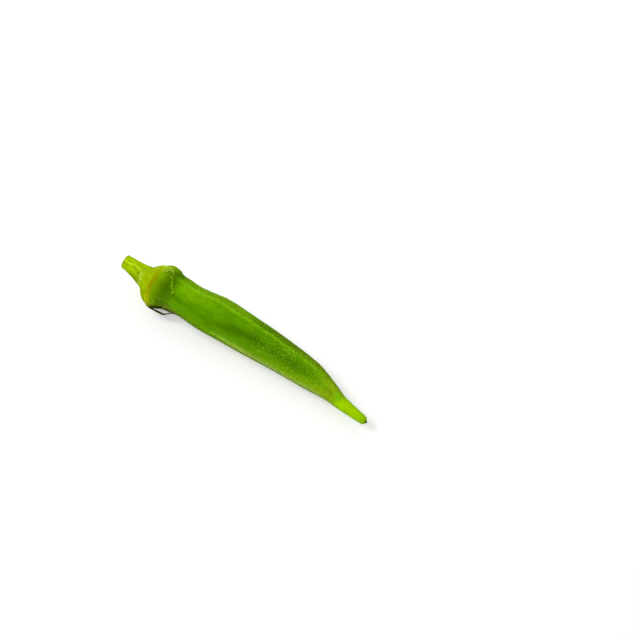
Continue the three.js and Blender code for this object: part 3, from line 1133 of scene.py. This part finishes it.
def make_bract(name, shape):
    """A withered strap: trough-shaped with raised margins, wrinkled, and narrow at its tip."""
    route, across, outward = strap_frame(shape)
    steps = len(route)
    sides = 28
    corners = np.linspace(0, 2 * np.pi, sides, endpoint=False)
    along, corner = np.meshgrid(np.linspace(0, 1, steps), corners, indexing="ij")
    narrowed = smooth_through(*shape["taper"])(along)
    spread = np.sign(np.cos(corner)) * np.abs(np.cos(corner)) ** 0.8
    trough = 0.16 * (np.abs(spread) ** 2.5)
    wrinkle = 0.05 * lumps(np.stack([along * 12, spread * 2, 0 * corner], -1), 0.8, seed=len(name))
    thick = 0.13 * np.sin(corner) * (0.6 + 0.4 * np.abs(spread))
    sideways = spread * narrowed * shape["width"] / 2
    lift = (trough - 0.08) * np.minimum(1, narrowed * 1.5) + thick + wrinkle * np.sin(corner)
    grid = route[:, None] + across[:, None] * sideways[..., None]
    if shape["twist"]:
        grid = grid + outward[:, None] * lift[..., None]
    else:
        # It lies on the skin, and its foot is sunk in the scar.
        station, degrees = polar(grid)
        sunk = 0.5 * fading(along, 0, 0.09)
        grid = around(station, degrees, skin_radius(station, degrees) + LAID_ON + lift - sunk)
    grid = on_floor(grid)
    veined = 0.5 + 0.5 * np.cos(np.pi * (4.3 * spread + 0.4 * np.sin(7 * along)))
    attributes = {
        "edge_share": with_poles(np.abs(spread), 0, 0),
        "tip_share": with_poles(along, 0, 1),
        "veins": with_poles(veined, 0.5, 0.5),
    }
    places = with_poles(grid, grid[0].mean(0), grid[-1].mean(0))
    material = bract_material(name + "_skin", shape["inside"], shape["margin"], shape["veins"])
    piece = make_piece(name + "_strap", places, tube_faces(steps, sides), [material], attributes)
    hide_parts(name)


# ---- Hairs ----

HAIRS_REACH = CAD_BOX[1].y / MM + 0.35  # how far sideways a hair's end may be from the middle of the pod
ROOTED = -0.03  # how far a hair's root lies off the skin: a little under it
ROOTS_ABOVE = 0.03  # how high off the floor its root has to be


def make_hairs(name, material, slot, roots, directions, lengths, widths, tones):
    """Hairs as slender closed cones with three sides, paler at the tip."""
    side = unit(np.cross(directions, np.where(np.abs(directions[:, :1]) < 0.9, (1.0, 0, 0), (0, 1.0, 0))))
    other = np.cross(directions, side)
    corners = []
    for angle in np.radians((0, 120, 240)):
        rim = side * math.cos(angle) + other * math.sin(angle)
        corners.append(roots + rim * widths[:, None] / 2)
    corners.append(roots + directions * lengths[:, None])
    places = np.stack(corners, 1).reshape(-1, 3)
    first = np.arange(len(roots))[:, None, None] * 4
    cone = np.array([(0, 1, 3), (1, 2, 3), (2, 0, 3), (2, 1, 0)])
    faces = (first + cone).reshape(-1, 3)
    tone = np.repeat(tones, 4)
    tone[3::4] += 0.4
    piece = make_piece(name, places, faces.tolist(), [material], {"tone": np.clip(tone, 0, 1)})


def skin_normals(station, degrees):
    """Outward directions of the capsule's skin."""
    step = 0.15
    turn = 1.5
    lengthwise = skin_at(station + step, degrees) - skin_at(station - step, degrees)
    roundwise = skin_at(station, degrees + turn) - skin_at(station, degrees - turn)
    normal = unit(np.cross(roundwise, lengthwise))
    outward = skin_at(station, degrees) - around(station, 0, 0)
    return normal * np.sign(np.sum(normal * outward, axis=1, keepdims=True))


def grow_from_skin(dice, station, degrees, lean, scatter, lengths, widths):
    """Hairs that grow out of the skin and lean towards the tip: roots, directions, lengths and widths."""
    count = len(station)
    leaning = dice.normal(0, scatter, (count, 3)) + (lean, 0, 0)
    directions = unit(skin_normals(station, degrees) + leaning)
    roots = skin_at(station, degrees, ROOTED)
    return roots, directions, dice.uniform(*lengths, count), dice.uniform(*widths, count)


def clear_hairs(above, roots, directions, lengths, *others):
    """The hairs that keep off the floor, their ends above that height, and don't reach too far sideways."""
    ends = roots + directions * lengths[:, None]
    clear = (ends[:, 2] > above) & (roots[:, 2] > ROOTS_ABOVE) & (np.abs(ends[:, 1]) < HAIRS_REACH)
    return [values[clear] for values in (roots, directions, lengths, *others)]


def make_down():
    """The pod's down: short leaning hairs, thicker on the ridge crests and towards the tip."""
    tried = 90000
    dice = np.random.default_rng(7)
    station = dice.uniform(SCAR + 0.6, LENGTH - 0.6, tried)
    degrees = dice.uniform(-180, 180, tried)
    near_crest = bell(from_crest(station, degrees), 0, 1)
    tipward = smoothstep(station, 55, 85) * (1 - 0.6 * smoothstep(station, 104, 110))
    wanted = (capsule_radius(station) / 10) * (0.16 + 0.5 * near_crest + 0.34 * tipward)
    kept = dice.uniform(0, 1, tried) < wanted
    grown = grow_from_skin(dice, station[kept], degrees[kept], 0.45, 0.35, (0.18, 0.42), (0.035, 0.07))
    roots, directions, lengths, widths = grown
    lengths = lengths * (1 + 0.3 * near_crest[kept])
    tones = dice.uniform(0.1, 0.9, len(roots))
    hairs = clear_hairs(0.03, roots, directions, lengths, widths, tones)
    make_hairs("pod_down", hair_material("down", HAIR_ROOT, HAIR_PALE), "pod_skin", *hairs)


def make_bristles():
    """Longer stiff bristles on the keel and along the lower ridge behind it."""
    tried = 2600
    dice = np.random.default_rng(17)
    station = dice.uniform(19.6, 44, tried)
    degrees = dice.normal(0, 14, tried) + lerp(108, 88, smoothstep(station, 24, 36))
    kept = dice.uniform(0, 1, tried) < lerp(0.7, 0.15, smoothstep(station, 27, 44))
    station, degrees = station[kept], degrees[kept]
    grown = grow_from_skin(dice, station, degrees, 0.3, 0.45, (0.35, 0.8), (0.05, 0.1))
    # Bristles on the keel's edge of painted shade take the darkest tone.
    shaded = smoothstep(degrees - EDGE_START(station), -10, 2)
    tones = dice.uniform(0, 1, len(station)) * (1 - shaded) - 0.4 * shaded
    hairs = clear_hairs(0.05, *grown, tones)
    make_hairs("keel_bristles", hair_material("bristle", BRISTLE_ROOT, BRISTLE_PALE), "pod_skin", *hairs)


TUFTS = 12  # tufts of hair along each bract
MAIN_MARGIN = 0.6  # the share of them that stands on one margin, with the rest on the other


def bract_hairs(dice, shape):
    """A bract's tufts of hair: their roots, directions, lengths and widths."""
    route, across, outward = strap_frame(shape)
    count, first, stoutness = shape["hairs"]
    tuft_places = lerp(first, 1, dice.uniform(0, 1, TUFTS) ** 0.7)
    tuft_sides = np.where(dice.uniform(0, 1, TUFTS) < MAIN_MARGIN, 1, -1)
    tuft = dice.integers(0, TUFTS, count)
    along = np.clip(tuft_places[tuft] + dice.normal(0, 0.008, count), 0.05, 0.99)
    index = (along * (len(route) - 1)).astype(int)
    side = tuft_sides[tuft][:, None]
    reach = smooth_through(*shape["taper"])(along)[:, None] * shape["width"] / 2 * 0.9
    root = route[index] + across[index] * side * reach
    if not shape["twist"]:
        station, degrees = polar(root)
        root = around(station, degrees, skin_radius(station, degrees) + LAID_ON)
    direction = across[index] * side * 0.8 + outward[index] * 0.7 + dice.normal(0, 0.4, (count, 3))
    length = dice.uniform(0.2, 0.42, count) * stoutness
    return root, unit(direction), length, dice.uniform(0.12, 0.2, count) * stoutness


def make_bract_hairs():
    """Stiff pale hairs along the margins of the bracts, in tufts."""
    dice = np.random.default_rng(9)
    bracts = [bract_hairs(dice, shape) for shape in BRACTS.values()]
    hairs = [np.concatenate(values) for values in zip(*bracts)]
    tones = dice.uniform(0.3, 1, len(hairs[0]))
    make_hairs("bract_hairs", hair_material("bract_bristle", BEAD_GREEN, BEAD_PALE), "bract", *hairs, tones)


# ---- Floor, light and camera ----

def make_floor():
    """A wide plain round floor."""
    reach_m = 4.0
    angles = np.linspace(0, 2 * np.pi, 48, endpoint=False)
    rim = np.stack([reach_m * np.cos(angles), reach_m * np.sin(angles), 0 * angles], 1)
    mesh = bpy.data.meshes.new("floor")
    mesh.from_pydata(rim.tolist(), [], [tuple(range(len(rim)))])
    mesh.materials.append(floor_material())
    put_in_scene("floor", mesh)


VIEW_AZIMUTH = math.radians(37.86)
VIEW_ELEVATION = math.radians(53.64)
VIEW_DISTANCE_M = 0.601
LENS = 85
AIM_RIGHT_M = 0.03031
AIM_UP_M = 0.01212

ABOVE = Vector((0, 0, 1))
RIGHT = Vector((math.cos(VIEW_AZIMUTH), math.sin(VIEW_AZIMUTH), 0))
AWAY = Vector((-math.sin(VIEW_AZIMUTH), math.cos(VIEW_AZIMUTH), 0))
BACK = ABOVE * math.sin(VIEW_ELEVATION) - AWAY * math.cos(VIEW_ELEVATION)
UP = BACK.cross(RIGHT)


def aim(thing, place, backward):
    """Puts a light or a camera in its place, with its back to a direction."""
    thing.location = place
    thing.rotation_mode = "QUATERNION"
    thing.rotation_quaternion = backward.to_track_quat("Z", "Y")


def make_camera():
    data = bpy.data.cameras.new("camera")
    data.lens = LENS
    data.clip_start = 0.01
    camera = put_in_scene("camera", data)
    aim(camera, BACK * VIEW_DISTANCE_M + RIGHT * AIM_RIGHT_M + UP * AIM_UP_M, BACK)
    bpy.context.scene.camera = camera


def make_light(name, direction, size_m, watts, colour):
    distance_m = 0.9
    data = bpy.data.lights.new(name, "AREA")
    data.size = size_m
    data.energy = watts
    data.color = colour
    aim(put_in_scene(name, data), direction.normalized() * distance_m, direction)


def make_lights():
    """A broad soft key from above and the left, a fill from the far side, and a white surround."""
    make_light("key", ABOVE * 0.75 - RIGHT * 0.65 + AWAY * 0.1, 0.4, 5.5, (1, 0.99, 0.96))
    make_light("far_fill", ABOVE * 0.5 + AWAY * 0.85, 0.5, 2.0, (1, 1, 0.97))
    world = bpy.data.worlds.new("surround")
    world.use_nodes = True
    nodes = Nodes(world.node_tree)
    direction = nodes.add("ShaderNodeTexCoord").outputs["Generated"]
    height = nodes.add("ShaderNodeSeparateXYZ", {0: direction}).outputs["Z"]
    background = world.node_tree.nodes["Background"].inputs
    background["Color"].default_value = (1, 1, 1, 1)
    nodes.plug(background["Strength"], nodes.ramp(height, 0.0, 0.7, 0.3, 0.8))
    bpy.context.scene.world = world
    bpy.context.scene.view_settings.view_transform = "Standard"


make_camera()
make_lights()
make_floor()
make_capsule()
make_stalk()
make_scar()
make_style()
for bract, shape in BRACTS.items():
    make_bract(bract, shape)
make_down()
make_bristles()
make_bract_hairs()
